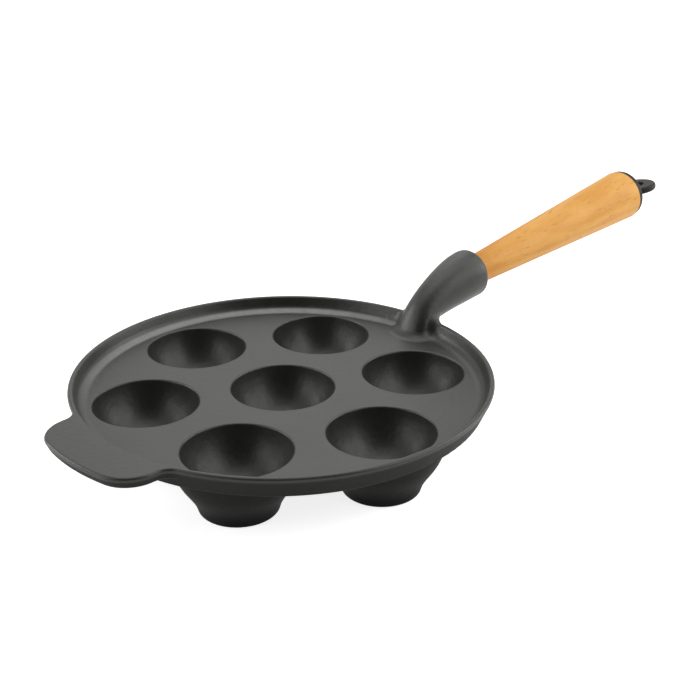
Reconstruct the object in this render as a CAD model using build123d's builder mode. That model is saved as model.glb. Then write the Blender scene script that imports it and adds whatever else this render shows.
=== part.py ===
from build123d import *
import math
import os

os.makedirs("parts", exist_ok=True)

# Cast iron aebleskiver pan with seven cups and a wooden handle, in millimetres.
# The origin is the middle of the face that the centre cup stands on.
# +Z is up and the handle runs towards +X.

# Plate and rim
plate_thickness = 4.4
rim_radius = 116.0
rim_height = 8.1
rim_draft_angle = 24.0
lip_width = 3.3
lip_rounding = 1.3
tray_wall_angle = 20.0
tray_fillet = 5.6
plate_edge_rounding = 1.4

# Cups. The ring and the openings are shares of the rim, depth and foot of the opening.
ring_cup_count = 6
cup_first_angle = 30.0
cup_ring_share = 0.6448
cup_opening_share = 0.2457
cup_depth_share = 0.965
foot_share = 0.716
cup_floor = 5.5
cup_wall = 5.3
cup_edge_rounding = 0.9
foot_height = 9.5
foot_rounding = 2.4

# Helper tab. Its corners and its roots are rounded by a share of its length.
tab_length = 22.1
tab_half_width = 39.7
tab_narrowing = 0.8
tab_thickness = 6.5
tab_end_radius = 120.0
tab_corner_share = 0.92
tab_root_share = 0.36
tab_lower_rounding = 1.2

# Swan neck and the collar that the handle goes into, measured from the rim and the plate
handle_tilt = 5.07
collar_overhang = 43.0
collar_height = 24.9
collar_radius = 14.8
collar_rounding = 3.4
neck_radius = 14.4
neck_foot_inset = 10.2
neck_foot_height = 8.0
neck_bend_overhang = 18.8
neck_bend_height = 24.0
neck_root_inset = 10.6
neck_root_depth = 2.0
neck_root_half_length = 9.0
neck_root_half_width = 12.5
neck_foot_half_length = 8.7
neck_foot_half_width = 10.4
socket_depth = 22.0
tapped_hole_depth = 13.0

# Wooden handle
wood_length = 159.8
wood_front_radius = 9.05
wood_end_radius = 16.85
wood_end_rounding = 1.4
wood_bore_clearance = 0.5

# Rod and its nut
rod_radius = 4.0
rod_chamfer = 0.8
rod_reach_past_wood = 6.4
nut_across_flats = 13.0
nut_height = 6.5
nut_chamfer = 0.9

# End cap, washer and hanging eye
cap_radius = 16.4
cap_thickness = 4.4
cap_rounding = 1.5
washer_radius = 8.4
washer_thickness = 1.2
washer_slot = 1.4
eye_radius = 13.7
eye_hole_radius = 5.4
eye_thickness = 4.6
eye_edge_rounding = 1.7
eye_hole_rounding = 0.8
eye_roll = -9.0
flange_radius = 7.8
flange_thickness = 2.6
spigot_radius = 6.0
spigot_length = 14.0

# Clearances
moving_gap = 0.3
socket_clearance = 0.15
thread_clearance = 0.05
end_clearance = 0.6
cone_inset = 0.05

# How far a cut runs past a face, and how near an edge or corner must be to be picked
cut_overrun = 1.0
pick_tolerance = 0.5

# How far the neck's sections stand along its bend, and how much they have grown there
neck_section_shares = ((0.18, 0.20, 0.0), (0.42, 0.66, 0.45), (0.70, 1.0, 1.0))

# Levels and radii that follow from the sizes above
cup_ring_radius = rim_radius * cup_ring_share
cup_opening_radius = rim_radius * cup_opening_share
cup_depth = cup_opening_radius * cup_depth_share
foot_radius = cup_opening_radius * foot_share
plate_top = cup_depth + cup_floor
plate_bottom = plate_top - plate_thickness
rim_top = plate_top + rim_height
rim_draft_slope = math.tan(math.radians(rim_draft_angle))
plate_edge_radius = rim_radius - (rim_height + plate_thickness) * rim_draft_slope
tray_radius = rim_radius - lip_width
tray_floor_radius = tray_radius - rim_height * math.tan(math.radians(tray_wall_angle))
tab_bottom = rim_top - tab_thickness
tab_reach = rim_radius + tab_length

# A cup is part of a ball. The ball's centre and radius give the opening and the depth.
ball_lift = (cup_opening_radius**2 - cup_depth**2) / (2 * cup_depth)
ball_radius = cup_depth + ball_lift
ball_height = plate_top + ball_lift
bowl_radius = ball_radius + cup_wall
foot_top_radius = math.sqrt(bowl_radius**2 - (ball_height - foot_height) ** 2)
bowl_top_radius = math.sqrt(bowl_radius**2 - (ball_height - plate_bottom) ** 2)

# Handle frame. Its x runs along the handle from the collar's mouth, its y is the radius.
tilt = math.radians(handle_tilt)
handle_direction = Vector(math.cos(tilt), 0, math.sin(tilt))
collar_mouth = Vector(rim_radius + collar_overhang, 0, plate_top + collar_height)
handle_plane = Plane(origin=collar_mouth, x_dir=handle_direction, z_dir=(0, -1, 0))
handle_axis = Axis(collar_mouth, handle_direction)


def handle_section(distance):
    """Plane square to the handle, at a distance past the collar's mouth."""
    return Plane(
        origin=collar_mouth + handle_direction * distance,
        x_dir=(0, 1, 0),
        z_dir=handle_direction,
    )


# One footed bowl, and the hollow that makes it a cup
with BuildPart() as bowl:
    with BuildSketch(Plane.XZ) as bowl_profile:
        with BuildLine():
            Polyline(
                (bowl_top_radius, plate_bottom),
                (bowl_top_radius, plate_top - plate_thickness / 2),
                (0, plate_top - plate_thickness / 2),
                (0, 0),
                (foot_radius, 0),
                (foot_top_radius, foot_height),
            )
            RadiusArc(
                (foot_top_radius, foot_height),
                (bowl_top_radius, plate_bottom),
                -bowl_radius,
            )
        make_face()
        foot_corner = bowl_profile.vertices().sort_by_distance((foot_radius, 0))[0]
        fillet(foot_corner, foot_rounding)
    revolve(axis=Axis.Z)

with BuildPart() as cup_hollow:
    with Locations((0, 0, ball_height)):
        Sphere(ball_radius)

# Plate, rim, tab, neck and cups are one casting
with BuildPart() as pan_casting:
    # The rim and the helper tab share one outline at the lip, and one draft
    tab_corner_reach = tab_reach - tab_half_width**2 / (2 * tab_end_radius)
    tab_corner = (-tab_corner_reach, tab_half_width - tab_narrowing)
    with BuildSketch(Plane.XY.offset(rim_top)) as lip_outline:
        Circle(rim_radius)
        with BuildLine():
            Polyline(
                (tab_corner[0], -tab_corner[1]),
                (-tab_half_width, -tab_half_width),
                (-tab_half_width, tab_half_width),
                tab_corner,
            )
            ThreePointArc(tab_corner, (-tab_reach, 0), (tab_corner[0], -tab_corner[1]))
        make_face()
        fillet(lip_outline.vertices().group_by(Axis.X)[0], tab_length * tab_corner_share)
        tab_roots = lip_outline.vertices().filter_by(
            lambda corner: corner.X < 0
            and abs(math.hypot(corner.X, corner.Y) - rim_radius) < pick_tolerance
        )
        fillet(tab_roots, tab_length * tab_root_share)
    extrude(amount=-tab_thickness, taper=rim_draft_angle)
    fillet(pan_casting.edges().group_by(Axis.Z)[0], tab_lower_rounding)

    # Plate and the lower part of the rim. Its cone ends a hair inside the rim's own.
    cone_top = tab_bottom + tab_lower_rounding
    cone_top_radius = rim_radius - (rim_top - cone_top) * rim_draft_slope - cone_inset
    with BuildSketch(Plane.XZ):
        with BuildLine():
            Polyline(
                (0, plate_bottom),
                (plate_edge_radius, plate_bottom),
                (cone_top_radius, cone_top),
                (0, cone_top),
                close=True,
            )
        make_face()
    revolve(axis=Axis.Z)

    # Shallow tray inside the rim
    with BuildSketch(Plane.XZ) as tray_profile:
        with BuildLine():
            Polyline(
                (0, plate_top),
                (tray_floor_radius, plate_top),
                (tray_radius, rim_top),
                (tray_radius, rim_top + cut_overrun),
                (0, rim_top + cut_overrun),
                close=True,
            )
        make_face()
        tray_corner = tray_profile.vertices().sort_by_distance((tray_floor_radius, plate_top))
        fillet(tray_corner[0], tray_fillet)
    revolve(axis=Axis.Z, mode=Mode.SUBTRACT)

    # Soft edges all round the lip and under the plate
    lip_edges = pan_casting.faces().sort_by(Axis.Z)[-1].edges()
    fillet(lip_edges, lip_rounding)
    lower_plate_edge = pan_casting.edges().group_by(Axis.Z)[0]
    fillet(lower_plate_edge, plate_edge_rounding)

    # Swan neck, lofted through ellipses that stand square to its bend
    foot_point = Vector(rim_radius - neck_foot_inset, 0, plate_top + neck_foot_height)
    bend_point = Vector(rim_radius + neck_bend_overhang, 0, plate_top + neck_bend_height)
    root_plane = Plane(origin=(rim_radius - neck_root_inset, 0, plate_top - neck_root_depth))
    with BuildSketch(root_plane):
        Ellipse(neck_root_half_length, neck_root_half_width)
    for along_share, length_share, width_share in neck_section_shares:
        first_leg = foot_point + (bend_point - foot_point) * along_share
        second_leg = bend_point + (collar_mouth - bend_point) * along_share
        section_center = first_leg + (second_leg - first_leg) * along_share
        direction = (second_leg - first_leg).normalized()
        half_length = neck_foot_half_length + (neck_radius - neck_foot_half_length) * length_share
        half_width = neck_foot_half_width + (neck_radius - neck_foot_half_width) * width_share
        across = Vector(direction.Z, 0, -direction.X)
        with BuildSketch(Plane(origin=section_center, x_dir=across, z_dir=direction)):
            Ellipse(half_length, half_width)
    mouth_across = Vector(handle_direction.Z, 0, -handle_direction.X)
    with BuildSketch(Plane(origin=collar_mouth, x_dir=mouth_across, z_dir=handle_direction)):
        Circle(collar_radius)
    loft()
    mouth_face = pan_casting.faces().sort_by(handle_axis)[-1]
    fillet(mouth_face.edges(), collar_rounding)

    # Cups
    add(bowl.part)
    with PolarLocations(cup_ring_radius, ring_cup_count, start_angle=cup_first_angle):
        add(bowl.part)
    add(cup_hollow.part, mode=Mode.SUBTRACT)
    with PolarLocations(cup_ring_radius, ring_cup_count, start_angle=cup_first_angle):
        add(cup_hollow.part, mode=Mode.SUBTRACT)
    cup_edges = (
        pan_casting.edges()
        .filter_by(GeomType.CIRCLE)
        .filter_by_position(Axis.Z, plate_top - pick_tolerance, plate_top + pick_tolerance)
        .filter_by(lambda edge: abs(edge.radius - cup_opening_radius) < pick_tolerance)
    )
    fillet(cup_edges, cup_edge_rounding)

    # Socket for the wood, and the tapped hole for the rod at its floor
    with Locations(handle_section(0)):
        Hole(wood_front_radius + socket_clearance, depth=socket_depth)
    with Locations(handle_section(-socket_depth)):
        Hole(rod_radius + thread_clearance, depth=tapped_hole_depth)
pan_casting.part.label = "pan_casting"
export_step(pan_casting.part, "parts/pan_casting.step")

# Nut that locks the rod at the floor of the socket
with BuildPart() as rod_nut:
    with BuildSketch(handle_section(-socket_depth)):
        RegularPolygon(nut_across_flats / 2, 6, major_radius=False)
        Circle(rod_radius + thread_clearance, mode=Mode.SUBTRACT)
    extrude(amount=nut_height)
    corner_radius = nut_across_flats / 2 / math.cos(math.pi / 6)
    flat_radius = nut_across_flats / 2
    with BuildSketch(handle_plane):
        with BuildLine():
            Polyline(
                (-socket_depth, 0),
                (-socket_depth, flat_radius),
                (-socket_depth + nut_chamfer, corner_radius),
                (-socket_depth + nut_height - nut_chamfer, corner_radius),
                (-socket_depth + nut_height, flat_radius),
                (-socket_depth + nut_height, 0),
                close=True,
            )
        make_face()
    revolve(axis=handle_axis, mode=Mode.INTERSECT)
rod_nut.part.label = "rod_nut"
export_step(rod_nut.part, "parts/rod_nut.step")

# Turned wooden handle. Its thin end seats on the nut, its thick end holds the eye's spigot.
wood_start = -socket_depth + nut_height
cap_start = wood_length + moving_gap
washer_start = cap_start + cap_thickness
eye_start = washer_start + washer_thickness + moving_gap
spigot_end = eye_start - spigot_length
with BuildPart() as wooden_handle:
    with BuildSketch(handle_plane) as wood_profile:
        with BuildLine():
            Polyline(
                (wood_start, 0),
                (wood_start, wood_front_radius),
                (0, wood_front_radius),
                (wood_length, wood_end_radius),
                (wood_length, 0),
                close=True,
            )
        make_face()
        wood_corner = wood_profile.vertices().sort_by_distance(
            handle_plane.from_local_coords((wood_length, wood_end_radius, 0))
        )
        fillet(wood_corner[0], wood_end_rounding)
    revolve(axis=handle_axis)
    with BuildSketch(handle_section(wood_start)):
        Circle(rod_radius + wood_bore_clearance)
    extrude(amount=wood_length - wood_start, mode=Mode.SUBTRACT)
    with BuildSketch(handle_section(spigot_end - end_clearance)):
        Circle(spigot_radius + moving_gap)
    extrude(amount=wood_length - spigot_end + end_clearance, mode=Mode.SUBTRACT)
wooden_handle.part.label = "wooden_handle"
export_step(wooden_handle.part, "parts/wooden_handle.step")

# Threaded rod from the neck through the wood into the eye
rod_start = -socket_depth - tapped_hole_depth + end_clearance
rod_end = wood_length + rod_reach_past_wood
with BuildPart() as handle_rod:
    with BuildSketch(handle_section(rod_start)):
        Circle(rod_radius)
    extrude(amount=rod_end - rod_start)
    chamfer(handle_rod.edges().filter_by(GeomType.CIRCLE), rod_chamfer)
handle_rod.part.label = "handle_rod"
export_step(handle_rod.part, "parts/handle_rod.step")

# Dark metal cap over the thick end of the wood
with BuildPart() as end_cap:
    with BuildSketch(handle_section(cap_start)):
        Circle(cap_radius)
    extrude(amount=cap_thickness)
    fillet(end_cap.edges().filter_by(GeomType.CIRCLE).sort_by(Axis.X)[-1], cap_rounding)
    with BuildSketch(handle_section(cap_start)):
        Circle(spigot_radius + moving_gap)
    extrude(amount=cap_thickness, mode=Mode.SUBTRACT)
end_cap.part.label = "end_cap"
export_step(end_cap.part, "parts/end_cap.step")

# Split spring washer under the eye
with BuildPart() as spring_washer:
    with BuildSketch(handle_section(washer_start)):
        Circle(washer_radius)
        Circle(spigot_radius + moving_gap, mode=Mode.SUBTRACT)
        with Locations((0, washer_radius)):
            Rectangle(washer_slot, washer_radius, mode=Mode.SUBTRACT)
    extrude(amount=washer_thickness)
spring_washer.part.label = "spring_washer"
export_step(spring_washer.part, "parts/spring_washer.step")

# Hanging eye: ring, flange and spigot in one piece, tapped up to its flange for the rod
eye_center = eye_start + eye_radius
roll = math.radians(eye_roll)
ring_normal = handle_plane.y_dir * math.cos(roll) + handle_plane.z_dir * math.sin(roll)
ring_origin = collar_mouth + handle_direction * eye_center - ring_normal * (eye_thickness / 2)
ring_plane = Plane(origin=ring_origin, x_dir=handle_direction, z_dir=ring_normal)
with BuildPart() as hanging_eye:
    with BuildSketch(ring_plane):
        Circle(eye_radius)
        Circle(eye_hole_radius, mode=Mode.SUBTRACT)
    extrude(amount=eye_thickness)
    ring_edges = hanging_eye.edges().filter_by(GeomType.CIRCLE).sort_by(SortBy.RADIUS)
    fillet(ring_edges[-2:], eye_edge_rounding)
    fillet(ring_edges[:2], eye_hole_rounding)
    with BuildSketch(handle_section(eye_start)):
        Circle(flange_radius)
    extrude(amount=flange_thickness)
    with BuildSketch(handle_section(spigot_end)):
        Circle(spigot_radius)
    extrude(amount=spigot_length)
    with BuildSketch(handle_section(spigot_end)):
        Circle(rod_radius + thread_clearance)
    extrude(amount=rod_end + end_clearance - spigot_end, mode=Mode.SUBTRACT)
hanging_eye.part.label = "hanging_eye"
export_step(hanging_eye.part, "parts/hanging_eye.step")
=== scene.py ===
import math

import bmesh
import bpy
import numpy as np
from mathutils import Matrix, Vector
from mathutils.bvhtree import BVHTree


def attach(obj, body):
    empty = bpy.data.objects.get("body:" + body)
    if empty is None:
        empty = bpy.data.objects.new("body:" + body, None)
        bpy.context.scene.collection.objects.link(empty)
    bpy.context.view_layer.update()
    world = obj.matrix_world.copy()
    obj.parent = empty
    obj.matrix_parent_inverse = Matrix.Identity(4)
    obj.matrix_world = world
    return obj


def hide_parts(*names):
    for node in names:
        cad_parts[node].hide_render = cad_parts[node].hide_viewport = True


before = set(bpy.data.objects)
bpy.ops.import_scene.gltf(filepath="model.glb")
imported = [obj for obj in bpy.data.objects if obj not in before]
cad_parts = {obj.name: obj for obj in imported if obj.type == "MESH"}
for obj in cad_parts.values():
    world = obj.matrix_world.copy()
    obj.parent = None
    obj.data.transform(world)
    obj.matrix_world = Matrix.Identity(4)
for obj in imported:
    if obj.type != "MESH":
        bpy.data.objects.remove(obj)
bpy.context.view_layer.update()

# Camera
# The photograph looks down on the pan from beyond its helper tab, with the handle pointing away
# to the right. The lens comes from the focal length that fits the round rim and the seven cups.
image_width_px = 700
focal_length_px = 1275.65
camera_place = Vector((-0.42009, -0.47072, 0.33724))
camera_target = Vector((0.06011, 0.00799, 0.03343))


def look_at(name, data, place, target):
    """Adds an object at a place, turned so that its -Z points at the target."""
    thing = bpy.data.objects.new(name, data)
    bpy.context.scene.collection.objects.link(thing)
    thing.location = place
    thing.rotation_euler = (target - place).to_track_quat("-Z", "Y").to_euler()
    return thing


lens = bpy.data.cameras.new("camera")
lens.lens = focal_length_px / image_width_px * lens.sensor_width
lens.clip_start = 0.01
bpy.context.scene.camera = look_at("camera", lens, camera_place, camera_target)
bpy.context.scene.view_settings.view_transform = "Standard"

# Pan casting
# One piece of grey iron, cast in sand: plate, rim, cups, feet, tab and swan neck. It has the skin
# of the sand, a fine grain over a soft orange peel, and is seasoned with oil to a satin near-black.
# Outside it is matt with soot, painted darker towards the feet as shade. Its far corner inside the
# rim has a painted highlight: a paler coat, strongest on the far side.
iron_shade = "#20201f"
iron_bloom = "#2c2c2a"
iron_gloss = (0.90, 0.905, 0.865, 1)
# The sooty colour runs from dark at the feet, a painted shade, to lighter towards the lip.
soot_dark_with_painted_shade = "#080808"
soot_bloom = "#3b3b39"
soot_gloss = 0.055
lip_level = 0.0405
soot_fade = 0.003
soot_lean = -0.12
painted_shade_height = 0.034
soot_reach = 0.1145
soot_edge = 0.001
cloud_scale = 38
peel_scale = 300
sand_scale = 1300
peel_depth = 0.0004
sand_depth = 0.0001
# The painted highlight in the corner inside the rim: its paler colours, its reach, height and side.
painted_highlight_dull = "#70706d"
painted_highlight_bright = "#8c8c88"
painted_highlight_from = 0.1042
painted_highlight_full = 0.1067
painted_highlight_top = 0.0354
painted_highlight_edge = 0.0014
painted_highlight_turn = math.radians(65)
painted_highlight_side_from = 0.005
painted_highlight_side_full = 0.105


def colour(code):
    """The shader's linear colour for a code such as #2b2b29."""
    parts = [int(code[i:i + 2], 16) / 255 for i in (1, 3, 5)]
    return [p / 12.92 if p <= 0.04045 else ((p + 0.055) / 1.055) ** 2.4 for p in parts] + [1.0]


class Link:
    """A node's socket that can stand in a sum. Each sign adds one Math node to its recipe."""

    def __init__(self, recipe, socket):
        self.recipe = recipe
        self.socket = socket

    def sum(self, operation, first, second):
        return self.recipe.node("ShaderNodeMath", {"operation": operation}, {0: first, 1: second})

    def __add__(self, other):
        return self.sum("ADD", self, other)

    def __sub__(self, other):
        return self.sum("SUBTRACT", self, other)

    def __rsub__(self, other):
        return self.sum("SUBTRACT", other, self)

    def __mul__(self, other):
        return self.sum("MULTIPLY", self, other)

    def __truediv__(self, other):
        return self.sum("DIVIDE", self, other)

    def __rtruediv__(self, other):
        return self.sum("DIVIDE", other, self)

    __radd__ = __add__
    __rmul__ = __mul__


class Recipe:
    """The nodes of one finish, light or repeated shape. Its node method adds one of any type."""

    def __init__(self, owner):
        self.owner = owner
        if not isinstance(owner, bpy.types.NodeTree):
            owner.use_nodes = True
            owner = owner.node_tree
        self.tree = owner
        self.tree.nodes.clear()

    def node(self, kind, settings=None, sockets=None, output=0):
        """Adds a node: first its settings and ramp stops, then its sockets' values or links."""
        node = self.tree.nodes.new(kind)
        for name, value in (settings or {}).items():
            if name == "stops":
                stops = node.color_ramp.elements
                for stop, (position, shade) in zip((stops[0], stops[1]), (value[0], value[-1])):
                    stop.position = position
                    stop.color = shade
                for position, shade in value[1:-1]:
                    stops.new(position).color = shade
            else:
                setattr(node, name, value)
        for key, value in (sockets or {}).items():
            socket = self.pick(node.inputs, key)
            if isinstance(value, Link):
                self.tree.links.new(value.socket, socket)
            else:
                socket.default_value = value
        return Link(self, self.pick(node.outputs, output)) if node.outputs else None

    def pick(self, sockets, key):
        """A socket by its name, or by its number among those in use."""
        used = [socket for socket in sockets if socket.enabled]
        return used[key] if isinstance(key, int) else next(s for s in used if s.name == key)


def fade(finish, value, nothing, full):
    """A smooth rise from 0 where the value is nothing to 1 where it is full."""
    return finish.node("ShaderNodeMapRange", {"interpolation_type": "SMOOTHSTEP"}, {
        "Value": value, "From Min": nothing, "From Max": full})


def cast_iron():
    """Seasoned sand-cast iron: satin where wiped and oiled, matt and sooty outside; painted shade,
    highlight.
    """
    finish = Recipe(bpy.data.materials.new("cast_iron"))
    place = finish.node("ShaderNodeTexCoord", output="Object")
    cloud = finish.node("ShaderNodeTexNoise", None, {
        "Vector": place, "Scale": cloud_scale, "Detail": 3, "Roughness": 0.6})
    peel = finish.node("ShaderNodeTexNoise", None, {
        "Vector": place, "Scale": peel_scale, "Detail": 2, "Roughness": 0.5})
    sand = finish.node("ShaderNodeTexNoise", None, {
        "Vector": place, "Scale": sand_scale, "Detail": 2, "Roughness": 0.6})
    tone = cloud * 0.6 + peel * 0.25 + sand * 0.15
    waves = finish.node("ShaderNodeBump", None, {
        "Height": peel, "Strength": 0.35, "Distance": peel_depth})
    grain = finish.node("ShaderNodeBump", None, {
        "Height": sand, "Strength": 0.3, "Distance": sand_depth, "Normal": waves})
    oiled_shade = finish.node("ShaderNodeValToRGB", {"stops": [
        (0.3, colour(iron_shade)), (0.7, colour(iron_bloom))]}, {"Fac": tone})
    height = finish.node("ShaderNodeSeparateXYZ", None, {0: place}, "Z")
    flat_place = finish.node("ShaderNodeVectorMath", {"operation": "MULTIPLY"}, {0: place, 1: (1, 1, 0)})
    reach = finish.node("ShaderNodeVectorMath", {"operation": "LENGTH"}, {0: flat_place}, "Value")
    facing = finish.node("ShaderNodeNewGeometry", None, None, "Normal")
    lean = finish.node("ShaderNodeSeparateXYZ", None, {0: facing}, "Z")
    side = finish.node("ShaderNodeVectorMath", {"operation": "DOT_PRODUCT"}, {
        0: place, 1: (math.cos(painted_highlight_turn), math.sin(painted_highlight_turn), 0)}, "Value")
    # Painted highlight: a paler coat in the corner inside the rim, strongest on the far side.
    low = fade(finish, height, painted_highlight_top, painted_highlight_top - painted_highlight_edge)
    painted_highlight_corner = fade(finish, reach, painted_highlight_from, painted_highlight_full) * low
    painted_highlight = painted_highlight_corner * fade(finish, side, painted_highlight_side_from, painted_highlight_side_full)
    painted_highlight_coat = finish.node("ShaderNodeValToRGB", {"stops": [
        (0.3, colour(painted_highlight_dull)), (0.7, colour(painted_highlight_bright))]}, {"Fac": tone})
    coat_and_painted_highlight = finish.node("ShaderNodeMix", {"data_type": "RGBA"}, {
        "Factor": painted_highlight, "A": oiled_shade, "B": painted_highlight_coat})
    oiled = finish.node("ShaderNodeBsdfPrincipled", None, {
        "Base Color": coat_and_painted_highlight, "Roughness": 0.33 + 0.16 * cloud,
        "Specular Tint": iron_gloss, "Normal": grain})
    # Painted shade: the sooty colour is darker towards the feet.
    soot_and_painted_shade = fade(finish, height, 0, painted_shade_height)
    sooty_shade = finish.node("ShaderNodeValToRGB", {"stops": [
        (0.0, colour(soot_dark_with_painted_shade)), (1.0, colour(soot_bloom))]}, {"Fac": soot_and_painted_shade * 0.6 + tone * 0.4 - 0.05})
    sooty = finish.node("ShaderNodeBsdfPrincipled", None, {
        "Base Color": sooty_shade, "Roughness": 0.5 + 0.2 * cloud,
        "Specular IOR Level": soot_gloss, "Normal": grain})
    outside = finish.node("ShaderNodeMath", {"operation": "MAXIMUM"}, {
        0: fade(finish, lean, 0, soot_lean), 1: fade(finish, reach, soot_reach - soot_edge, soot_reach)})
    under_lip = fade(finish, height, lip_level, lip_level - soot_fade)
    skin = finish.node("ShaderNodeMixShader", None, {0: under_lip * outside, 1: oiled, 2: sooty})
    finish.node("ShaderNodeOutputMaterial", None, {"Surface": skin})
    return finish.owner


def give_finish(piece, material):
    """Puts a material in every slot of a piece, or in a new one if it has none."""
    if not piece.material_slots:
        piece.data.materials.append(material)
    for slot in piece.material_slots:
        slot.material = material


iron = cast_iron()
give_finish(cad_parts["pan_casting"], iron)

# Neck root
# The pattern maker rounds the corner where the neck grows out of the tray and the rim, so that the
# iron flows from one into the other. This piece is that round hollow, on the casting's own skin.
neck_root_middle = Vector((0.1080, 0, 0.0425))
neck_root_half_sizes = Vector((0.0130, 0.0150, 0.0072))
hollow_radius = 0.0054
hollow_full = 1.4
hollow_reach = 2.1
hollow_margin = 0.4
hollow_voxel = 0.0005
hollow_inset = 0.00012
same_point = 1e-6


def plain_mesh(piece):
    """Turns a piece with its modifiers into one plain mesh."""
    shown = piece.evaluated_get(bpy.context.evaluated_depsgraph_get())
    finished = bpy.data.meshes.new_from_object(shown)
    piece.modifiers.clear()
    piece.data = finished


def modify(piece, kind, **settings):
    """Adds a modifier with its settings."""
    modifier = piece.modifiers.new(kind.lower(), kind)
    for name, value in settings.items():
        setattr(modifier, name, value)


def ramp(values, start, end):
    """0 before start, 1 after end, and a smooth rise between."""
    share = np.clip((values - start) / (end - start), 0, 1)
    return share * share * (3 - 2 * share)


def cut_neck_root(casting):
    """A block of the casting's iron round the place where the neck starts."""
    root = bpy.data.objects.new("neck_root", casting.data.copy())
    block = bpy.data.objects.new("block", bpy.data.meshes.new("block"))
    for piece in (root, block):
        bpy.context.scene.collection.objects.link(piece)
    shape = bmesh.new()
    shape.from_mesh(root.data)
    bmesh.ops.remove_doubles(shape, verts=shape.verts, dist=same_point)
    shape.to_mesh(root.data)
    shape.free()
    shape = bmesh.new()
    bmesh.ops.create_cube(shape, size=2)
    bmesh.ops.scale(shape, vec=neck_root_half_sizes * (hollow_reach + hollow_margin), verts=shape.verts)
    bmesh.ops.translate(shape, vec=neck_root_middle, verts=shape.verts)
    shape.to_mesh(block.data)
    shape.free()
    modify(root, "BOOLEAN", operation="INTERSECT", object=block)
    plain_mesh(root)
    bpy.data.objects.remove(block)
    return root


def round_neck_root(root):
    """Fills the block's hollow corners as far as a ball of the hollow's radius can't reach."""
    skin = BVHTree.FromObject(root, bpy.context.evaluated_depsgraph_get())
    modify(root, "REMESH", mode="VOXEL", voxel_size=hollow_voxel)
    modify(root, "DISPLACE", strength=hollow_radius, mid_level=0)
    modify(root, "REMESH", mode="VOXEL", voxel_size=hollow_voxel)
    modify(root, "DISPLACE", strength=-hollow_radius, mid_level=0)
    modify(root, "SMOOTH", factor=0.5, iterations=10)
    modify(root, "REMESH", mode="VOXEL", voxel_size=hollow_voxel)
    modify(root, "SMOOTH", factor=0.5, iterations=8)
    plain_mesh(root)

    mesh = root.data
    places = np.array([vertex.co for vertex in mesh.vertices])
    normals = np.array([vertex.normal for vertex in mesh.vertices])
    on_skin = np.array([skin.find_nearest(vertex.co)[0] for vertex in mesh.vertices])
    away = np.linalg.norm((places - np.array(neck_root_middle)) / np.array(neck_root_half_sizes), axis=1)
    near = 1 - ramp(away, hollow_full, hollow_reach)
    rise = np.clip(np.einsum("ij,ij->i", places - on_skin, normals), 0, None) * near
    places = on_skin + (places - on_skin) * (near * (rise > 0))[:, None]
    places -= normals * (hollow_inset * (1 - ramp(rise, 0, 2 * hollow_inset)))[:, None]
    mesh.vertices.foreach_set("co", places.ravel())
    mesh.shade_smooth()
    mesh.materials.clear()


neck_root = cut_neck_root(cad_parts["pan_casting"])
round_neck_root(neck_root)
give_finish(neck_root, iron)
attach(neck_root, "pan")

# Rim
# The pattern's rim is turned on a lathe, so the tray's corner, the wall and the lip run round in one
# smooth sweep. These two bands are that surface, from the neck to the tab, a hair above the casting.
rim_top = 0.041103
rim_radius = 0.116
rim_height = 0.0081
lip_width = 0.0033
lip_rounding = 0.0013
tray_wall_slope = math.tan(math.radians(20))
tray_fillet = 0.0056
rim_draft_slope = math.tan(math.radians(24))
band_floor_radius = 0.1048
band_drop = 0.0045
band_thickness = 0.0008
band_start = math.radians(7)
band_end = math.radians(154)
band_step = math.radians(0.75)
band_fade = math.radians(2.5)
band_sink = 0.00012
band_proud_from = (band_floor_radius, 0.1060, 0.1125, 0.1138)
band_proud = (-0.00008, 0.00006, 0.00009, 0.00001)
band_point_spacing = 0.0004
band_foot_fade = 0.001
band_corner_steps = 12
band_back_every = 4


def new_piece(name, corners, faces):
    """Adds a smooth mesh object, made of faces that are turned to point outwards."""
    mesh = bpy.data.meshes.new(name)
    mesh.from_pydata(corners, [], faces)
    shape = bmesh.new()
    shape.from_mesh(mesh)
    bmesh.ops.recalc_face_normals(shape, faces=shape.faces)
    shape.to_mesh(mesh)
    shape.free()
    mesh.shade_smooth()
    piece = bpy.data.objects.new(name, mesh)
    bpy.context.scene.collection.objects.link(piece)
    return piece


def rounded(corners, radii, steps):
    """The points of a line whose corners are rounded, each by its own radius."""
    corners = [np.array(corner) for corner in corners]
    points = [corners[0]]
    for before, corner, after, radius in zip(corners, corners[1:], corners[2:], radii):
        back = (before - corner) / np.linalg.norm(before - corner)
        ahead = (after - corner) / np.linalg.norm(after - corner)
        half = math.acos(back @ ahead) / 2
        middle = corner + (back + ahead) / np.linalg.norm(back + ahead) * radius / math.sin(half)
        first = corner + back * radius / math.tan(half) - middle
        last = corner + ahead * radius / math.tan(half) - middle
        sweep = math.pi - 2 * half
        for share in np.linspace(0, 1, steps):
            spread = math.sin((1 - share) * sweep) * first + math.sin(share * sweep) * last
            points.append(middle + spread / math.sin(sweep))
    return np.array(points + [corners[-1]])


def rim_section():
    """The rim's outline from the tray's floor over the lip, and how proud the band lies there."""
    tray_radius = rim_radius - lip_width
    floor = rim_top - rim_height
    line = rounded([
        (band_floor_radius, floor),
        (tray_radius - rim_height * tray_wall_slope, floor),
        (tray_radius, rim_top),
        (rim_radius, rim_top),
        (rim_radius - band_drop * rim_draft_slope, rim_top - band_drop),
    ], (tray_fillet, lip_rounding, lip_rounding), band_corner_steps)
    run = np.diff(line, axis=0)
    length = np.concatenate(([0], np.cumsum(np.linalg.norm(run, axis=1))))
    even = np.arange(0, length[-1], band_point_spacing)
    line = np.stack([np.interp(even, length, line[:, i]) for i in (0, 1)], axis=1)
    way = np.gradient(line, axis=0)
    way /= np.linalg.norm(way, axis=1)[:, None]
    normal = np.stack([-way[:, 1], way[:, 0]], axis=1)
    proud = np.interp(line[:, 0], band_proud_from, band_proud)
    proud -= band_sink * (1 - ramp(even[-1] - even, 0, band_foot_fade))
    return line, normal, proud


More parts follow.
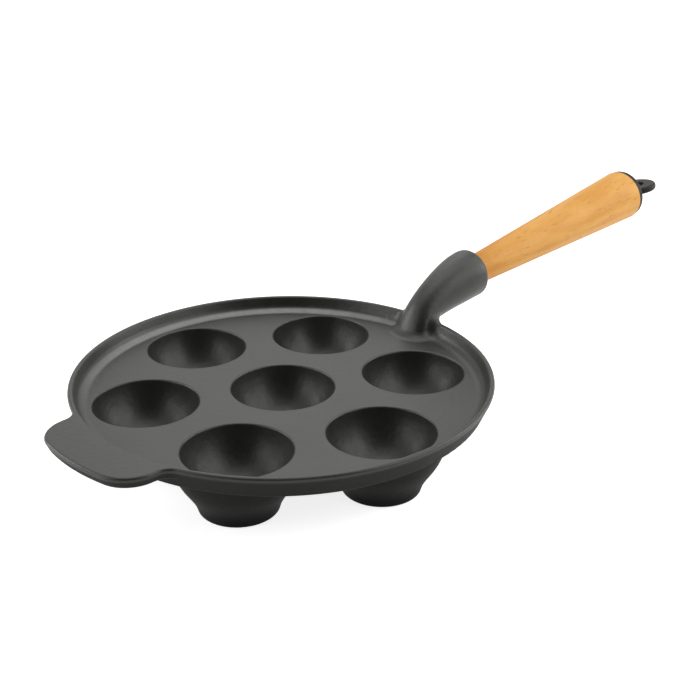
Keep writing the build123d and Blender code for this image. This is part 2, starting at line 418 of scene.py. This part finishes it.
def rim_band(name, side):
    """One band of the rim, from the neck to the tab on one side."""
    line, normal, proud = rim_section()
    inner = (line - normal * band_thickness)[::-band_back_every]
    turns = np.arange(band_start, band_end, band_step)
    corners = []
    for turn in turns:
        risen = ramp(turn, band_start, band_start + band_fade)
        sunk = 1 - risen * (1 - ramp(turn, band_end - band_fade, band_end))
        outline = np.concatenate((line + normal * (proud - sunk * band_sink)[:, None], inner))
        corners += [(r * math.cos(turn), side * r * math.sin(turn), z) for r, z in outline]
    count = len(outline)
    faces = [tuple(range(count)), tuple(range(len(corners) - count, len(corners)))]
    for first in range(0, len(corners) - count, count):
        for i in range(count):
            j = (i + 1) % count
            faces.append((first + i, first + j, first + count + j, first + count + i))
    band = new_piece(name, corners, faces)
    give_finish(band, iron)
    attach(band, "pan")


rim_band("rim_left", 1)
rim_band("rim_right", -1)

# Feet
# Each cup stands on a short drafted foot, and the pattern's wax fillet lets the foot run softly into
# the bowl. These seven rings are that fillet. Their edges run out under the skin of the casting.
foot_radius = 0.020406
foot_height = 0.0095
foot_top_radius = 0.023292
bowl_radius = 0.033818
bowl_middle_height = 0.034018
fillet_below = 0.0062
fillet_turn = math.radians(12.5)
fillet_bend = 0.0042
fillet_steps = 14
fillet_tail = 0.0009
fillet_dip = 0.0001
fillet_sink = 0.0012
fillet_sides = 72
cup_ring_radius = 0.074797
cup_ring_count = 6
cup_first_turn = math.radians(30)


def foot_fillet():
    """One closed ring of wax fillet, round the Z axis."""
    foot_top = np.array((foot_top_radius, foot_height))
    up_foot = foot_top - (foot_radius, 0)
    up_foot /= np.linalg.norm(up_foot)
    start = foot_top - up_foot * fillet_below
    bowl_turn = math.atan2(foot_height - bowl_middle_height, foot_top_radius) + fillet_turn
    from_bowl = np.array((math.cos(bowl_turn), math.sin(bowl_turn)))
    end = (0, bowl_middle_height) + from_bowl * bowl_radius
    up_bowl = np.array((-from_bowl[1], from_bowl[0]))
    share = np.linspace(0, 1, fillet_steps)[:, None]
    curve = (
        (1 - share) ** 3 * start
        + 3 * (1 - share) ** 2 * share * (start + up_foot * fillet_bend)
        + 3 * (1 - share) * share ** 2 * (end - up_bowl * fillet_bend)
        + share ** 3 * end
    )
    into_foot = np.array((-up_foot[1], up_foot[0]))
    low_tail = [start - up_foot * fillet_tail * i + into_foot * fillet_dip * i ** 2 for i in (2, 1)]
    high_tail = [end + up_bowl * fillet_tail * i - from_bowl * fillet_dip * i ** 2 for i in (1, 2)]
    outline = np.concatenate((low_tail, curve, high_tail, [foot_top + into_foot * fillet_sink]))
    corners = []
    for turn in np.linspace(0, 2 * math.pi, fillet_sides, endpoint=False):
        corners += [(r * math.cos(turn), r * math.sin(turn), z) for r, z in outline]
    count = len(outline)
    faces = []
    for first in range(0, len(corners), count):
        beside = (first + count) % len(corners)
        for i in range(count):
            j = (i + 1) % count
            faces.append((first + i, first + j, beside + j, beside + i))
    return new_piece("foot_fillets", corners, faces)


def foot_places():
    """The rule of the seven feet: one in the middle and the rest evenly on a ring."""
    tree = bpy.data.node_groups.new("foot_places", "GeometryNodeTree")
    tree.interface.new_socket("Foot", in_out="INPUT", socket_type="NodeSocketGeometry")
    tree.interface.new_socket("Ring radius", in_out="INPUT", socket_type="NodeSocketFloat")
    tree.interface.new_socket("First turn", in_out="INPUT", socket_type="NodeSocketFloat")
    tree.interface.new_socket("Feet on ring", in_out="INPUT", socket_type="NodeSocketInt")
    tree.interface.new_socket("Feet", in_out="OUTPUT", socket_type="NodeSocketGeometry")
    pan = Recipe(tree)
    foot, radius, first_turn, count = (
        pan.node("NodeGroupInput", output=name)
        for name in ("Foot", "Ring radius", "First turn", "Feet on ring"))
    ring = pan.node("GeometryNodeMeshCircle", {"fill_type": "TRIANGLE_FAN"}, {
        "Vertices": count, "Radius": radius})
    turn = pan.node("ShaderNodeCombineXYZ", None, {"Z": first_turn})
    turned = pan.node("GeometryNodeTransform", None, {"Geometry": ring, "Rotation": turn})
    feet = pan.node("GeometryNodeInstanceOnPoints", None, {"Points": turned, "Instance": foot})
    real = pan.node("GeometryNodeRealizeInstances", None, {"Geometry": feet})
    cast = pan.node("GeometryNodeSetMaterial", None, {"Geometry": real, "Material": iron})
    pan.node("NodeGroupOutput", None, {"Feet": cast})
    return tree


def set_sizes(modifier, tree, sizes):
    """Gives a Geometry Nodes modifier its tree and the tree's sizes, by their sockets' identifiers."""
    modifier.node_group = tree
    for given in tree.interface.items_tree:
        if given.in_out == "INPUT" and given.name in sizes:
            modifier[given.identifier] = sizes[given.name]


fillets = foot_fillet()
set_sizes(fillets.modifiers.new("places", "NODES"), foot_places(), {
    "Ring radius": cup_ring_radius, "First turn": cup_first_turn, "Feet on ring": cup_ring_count})
plain_mesh(fillets)
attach(fillets, "pan")

# Studding and nut
# A zinc plated M8 studding, threaded from end to end, is screwed into the neck and locked there by
# a nut at the floor of the socket. The wood slides over it and the eye screws onto its far end.
handle_tilt = math.radians(5.07)
collar_mouth = Vector((0.159, 0, 0.057903))
rod_start = -0.0344
rod_end = 0.1662
rod_radius = 0.0040
thread_pitch = 0.00125
thread_depth = 0.00065
thread_rows_per_turn = 8
rod_sides = 24
zinc_bright = "#a9a9a6"
zinc_dull = "#858583"
zinc_scale = 400


def zinc_plate():
    """Bright zinc plate, a little clouded."""
    finish = Recipe(bpy.data.materials.new("zinc_plate"))
    place = finish.node("ShaderNodeTexCoord", output="Object")
    cloud = finish.node("ShaderNodeTexNoise", None, {"Vector": place, "Scale": zinc_scale, "Detail": 3})
    shade = finish.node("ShaderNodeValToRGB", {"stops": [
        (0.35, colour(zinc_dull)), (0.65, colour(zinc_bright))]}, {"Fac": cloud})
    plate = finish.node("ShaderNodeBsdfPrincipled", None, {
        "Base Color": shade, "Metallic": 1.0, "Roughness": 0.25 + 0.2 * cloud})
    finish.node("ShaderNodeOutputMaterial", None, {"Surface": plate})
    return finish.owner


def threaded_bar():
    """The rule of a threaded bar along Z: every point sinks by its place in the thread's turn."""
    tree = bpy.data.node_groups.new("threaded_bar", "GeometryNodeTree")
    for name in ("Length", "Radius", "Pitch", "Depth"):
        tree.interface.new_socket(name, in_out="INPUT", socket_type="NodeSocketFloat")
    for name in ("Rows", "Sides"):
        tree.interface.new_socket(name, in_out="INPUT", socket_type="NodeSocketInt")
    tree.interface.new_socket("Geometry", in_out="OUTPUT", socket_type="NodeSocketGeometry")
    bar = Recipe(tree)
    length, radius, pitch, depth, rows, sides = (
        bar.node("NodeGroupInput", output=name)
        for name in ("Length", "Radius", "Pitch", "Depth", "Rows", "Sides"))
    barrel = bar.node("GeometryNodeMeshCylinder", None, {
        "Vertices": sides, "Side Segments": rows, "Radius": radius, "Depth": length}, "Mesh")
    place = bar.node("GeometryNodeInputPosition")
    x, y, z = (bar.node("ShaderNodeSeparateXYZ", None, {0: place}, axis) for axis in "XYZ")
    turn = bar.node("ShaderNodeMath", {"operation": "ARCTAN2"}, {0: y, 1: x}) * (0.5 / math.pi)
    phase = bar.node("ShaderNodeMath", {"operation": "FRACT"}, {0: z / pitch - turn})
    flank = bar.node("ShaderNodeMath", {"operation": "ABSOLUTE"}, {0: phase * 2 - 1})
    left = 1 - (1 - flank) * depth / radius
    cut = bar.node("ShaderNodeCombineXYZ", None, {"X": x * left, "Y": y * left, "Z": z})
    thread = bar.node("GeometryNodeSetPosition", None, {"Geometry": barrel, "Position": cut})
    real = bar.node("GeometryNodeRealizeInstances", None, {"Geometry": thread})
    plated = bar.node("GeometryNodeSetMaterial", None, {"Geometry": real, "Material": zinc})
    bar.node("NodeGroupOutput", None, {"Geometry": plated})
    return tree


zinc = zinc_plate()
give_finish(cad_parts["rod_nut"], zinc)
studding_length = rod_end - rod_start
studding_sizes = {
    "Length": studding_length,
    "Radius": rod_radius,
    "Pitch": thread_pitch,
    "Depth": thread_depth,
    "Rows": round(studding_length / thread_pitch * thread_rows_per_turn),
    "Sides": rod_sides,
}
studding = bpy.data.objects.new("studding", bpy.data.meshes.new("studding"))
bpy.context.scene.collection.objects.link(studding)
set_sizes(studding.modifiers.new("thread", "NODES"), threaded_bar(), studding_sizes)
plain_mesh(studding)
handle_way = Vector((math.cos(handle_tilt), 0, math.sin(handle_tilt)))
studding_middle = collar_mouth + handle_way * (rod_start + rod_end) / 2
laid_along_handle = Matrix.Rotation(math.pi / 2 - handle_tilt, 4, "Y")
studding.data.transform(Matrix.Translation(studding_middle) @ laid_along_handle)
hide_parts("handle_rod")
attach(studding, "pan")

# Wooden handle
# Beech, turned to a long taper, sanded and oiled. The grain runs along it, with faint year rings of
# a log whose heart lies well below, fine fibres and short darker flecks. Towards the collar it is
# darker: partly an oil patina, partly painted shade of the collar.
wood_light = "#e8ad5a"
wood_warm = "#dc9b45"
wood_deep = "#c98332"
wood_fleck = "#b07031"
heart_beside = 0.022
heart_below = 0.034
ring_spacing = 0.0052
collar_darkening_length = 0.060
log_stretch = 0.25
figure_scale = 90
fibre_stretch = 0.035
fibre_scale = 2200
fleck_stretch = 0.11
fleck_scale = 950
wood_relief = 0.00008


def oiled_beech():
    """Oiled beech with its grain along the handle."""
    finish = Recipe(bpy.data.materials.new("oiled_beech"))
    place = finish.node("ShaderNodeTexCoord", output="Object")
    along = finish.node("ShaderNodeMapping", {"vector_type": "TEXTURE"}, {
        "Vector": place, "Location": collar_mouth, "Rotation": (0, -handle_tilt, 0)})
    log = finish.node("ShaderNodeMapping", None, {
        "Vector": along, "Location": (0, -heart_beside, heart_below), "Scale": (log_stretch, 1, 1),
        "Rotation": (0, 0.02, 0.035)})
    # At a scale of 1 the Wave texture has a ring every 2 pi / 20 of a metre.
    rings = finish.node("ShaderNodeTexWave", {"wave_type": "RINGS", "rings_direction": "X"}, {
        "Vector": log, "Scale": 2 * math.pi / (20 * ring_spacing), "Distortion": 7.0,
        "Detail": 3, "Detail Scale": 0.5, "Detail Roughness": 0.55}, 1)
    figure = finish.node("ShaderNodeTexNoise", None, {
        "Vector": log, "Scale": figure_scale, "Detail": 4, "Roughness": 0.55, "Distortion": 0.5})
    drawn = finish.node("ShaderNodeMapping", None, {"Vector": along, "Scale": (fibre_stretch, 1, 1)})
    fibre = finish.node("ShaderNodeTexNoise", None, {
        "Vector": drawn, "Scale": fibre_scale, "Detail": 3, "Roughness": 0.6})
    short = finish.node("ShaderNodeMapping", None, {"Vector": along, "Scale": (fleck_stretch, 1, 1)})
    specks = finish.node("ShaderNodeTexNoise", None, {
        "Vector": short, "Scale": fleck_scale, "Detail": 1, "Roughness": 0.5})
    from_collar = finish.node("ShaderNodeSeparateXYZ", None, {0: along}, "X")
    # Painted shade: the wood is darker towards the collar, partly oil patina.
    collar_patina_and_painted_shade = fade(finish, from_collar, collar_darkening_length, 0)
    tone = rings * 0.15 + figure * 0.58 + fibre * 0.38 - collar_patina_and_painted_shade * 0.26
    body = finish.node("ShaderNodeValToRGB", {"stops": [
        (0.16, colour(wood_deep)), (0.42, colour(wood_warm)), (0.66, colour(wood_light))]}, {"Fac": tone})
    fleck = finish.node("ShaderNodeMapRange", None, {
        "Value": specks, "From Min": 0.63, "From Max": 0.75, "To Min": 0.0, "To Max": 0.55})
    shade = finish.node("ShaderNodeMix", {"data_type": "RGBA"}, {
        "Factor": fleck, "A": body, "B": colour(wood_fleck)})
    relief = finish.node("ShaderNodeBump", None, {
        "Height": fibre - fleck, "Strength": 0.25, "Distance": wood_relief})
    oiled = finish.node("ShaderNodeBsdfPrincipled", None, {
        "Base Color": shade, "Roughness": 0.44 + 0.14 * fibre, "Specular IOR Level": 0.28,
        "Normal": relief})
    finish.node("ShaderNodeOutputMaterial", None, {"Surface": oiled})
    return finish.owner


give_finish(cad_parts["wooden_handle"], oiled_beech())

# End cap, spring washer and hanging eye
# The cap covers the wood's end, and the washer keeps it clamped when the eye is screwed home. All
# three are mild steel, browned in hot oil to a dark, slightly glossy skin that rubs lighter.
browned_dark = "#12100e"
browned_rubbed = "#241f1b"
browned_scale = 350
browned_relief = 0.0002


def browned_steel():
    """Oil-browned steel, rubbed a little lighter here and there."""
    finish = Recipe(bpy.data.materials.new("browned_steel"))
    place = finish.node("ShaderNodeTexCoord", output="Object")
    cloud = finish.node("ShaderNodeTexNoise", None, {"Vector": place, "Scale": browned_scale, "Detail": 4})
    shade = finish.node("ShaderNodeValToRGB", {"stops": [
        (0.4, colour(browned_dark)), (0.75, colour(browned_rubbed))]}, {"Fac": cloud})
    relief = finish.node("ShaderNodeBump", None, {
        "Height": cloud, "Strength": 0.3, "Distance": browned_relief})
    skin = finish.node("ShaderNodeBsdfPrincipled", None, {
        "Base Color": shade, "Roughness": 0.36 + 0.15 * cloud, "Specular IOR Level": 0.16,
        "Normal": relief})
    finish.node("ShaderNodeOutputMaterial", None, {"Surface": skin})
    return finish.owner


browned = browned_steel()
for node in ("end_cap", "spring_washer", "hanging_eye"):
    give_finish(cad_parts[node], browned)

# Table, studio and light
# A wide sheet of white paper, lit by square softboxes on a circle round the pan, with the strongest
# ones behind it. A black card behind the camera, as for any glossy dark thing, keeps the cups deep.
paper_half_side = 4.0
paper_white = "#e7e7e7"
paper_glow = 0.83
room_light = 0.20
softbox_distance = 1.3
studio_middle = Vector((0, 0, 0.03))
card_distance = 1.6
card_black = "#1a1a1a"
card_middle = math.radians(-132)
card_half_turn = math.radians(50)
card_low = math.radians(-1)
card_high = math.radians(75)
card_strips = 12


def seen_rays(recipe):
    """1 for what the camera sees itself or through gloss or glass, 0 for what only gives light."""
    rays = ("Is Camera Ray", "Is Glossy Ray", "Is Transmission Ray")
    camera, gloss, glass = (recipe.node("ShaderNodeLightPath", output=ray) for ray in rays)
    return camera + gloss + glass


def around(turn, height, distance):
    """A place at a compass turn and a height angle, in radians, from the studio's middle."""
    level = Vector((math.cos(turn), math.sin(turn), 0)) * math.cos(height)
    return studio_middle + distance * (level + Vector((0, 0, math.sin(height))))


def white_paper():
    """Matt white paper that looks plain white to the camera and keeps the pan's shadow."""
    finish = Recipe(bpy.data.materials.new("white_paper"))
    matt = finish.node("ShaderNodeBsdfDiffuse", None, {"Color": colour(paper_white)})
    glow = finish.node("ShaderNodeEmission", None, {"Strength": paper_glow * seen_rays(finish)})
    both = finish.node("ShaderNodeAddShader", None, {0: matt, 1: glow})
    finish.node("ShaderNodeOutputMaterial", None, {"Surface": both})
    return finish.owner


def black_card():
    """Matt black card."""
    finish = Recipe(bpy.data.materials.new("black_card"))
    matt = finish.node("ShaderNodeBsdfDiffuse", None, {"Color": colour(card_black)})
    finish.node("ShaderNodeOutputMaterial", None, {"Surface": matt})
    return finish.owner


def softbox(name, turn, height, side, power):
    """A square soft light that faces the pan. Its turn and height are in degrees."""
    light = bpy.data.lights.new(name, "AREA")
    light.size = side
    light.energy = power
    place = around(math.radians(turn), math.radians(height), softbox_distance)
    look_at(name, light, place, studio_middle)


paper_corners = [
    (x * paper_half_side, y * paper_half_side, 0) for x, y in ((-1, -1), (1, -1), (1, 1), (-1, 1))]
paper = new_piece("paper", paper_corners, [(0, 1, 2, 3)])
give_finish(paper, white_paper())

card_corners = []
for strip in range(card_strips + 1):
    turn = card_middle + card_half_turn * (2 * strip / card_strips - 1)
    card_corners.append(around(turn, card_low, card_distance))
    card_corners.append(around(turn, card_high, card_distance))
card = new_piece("card", card_corners, [(i, i + 2, i + 3, i + 1) for i in range(0, 2 * card_strips, 2)])
card.visible_camera = False
give_finish(card, black_card())

room = Recipe(bpy.data.worlds.new("room"))
bpy.context.scene.world = room.owner
air = room.node("ShaderNodeBackground", None, {
    "Color": colour("#ffffff"), "Strength": room_light + (1 - room_light) * seen_rays(room)})
room.node("ShaderNodeOutputWorld", None, {"Surface": air})

softbox("front_low", -75, 20, 0.6, 2.1)
softbox("front_high", -70, 45, 0.6, 3.1)
softbox("right_low", -30, 20, 0.6, 5.2)
softbox("right_high", -20, 50, 0.6, 2.1)
softbox("handle_high", 48, 45, 0.6, 1.8)
softbox("back_low", 125, 20, 0.6, 6.4)
softbox("left_low", 166, 20, 0.6, 2.9)
softbox("overhead", 48, 84, 0.95, 4.5)
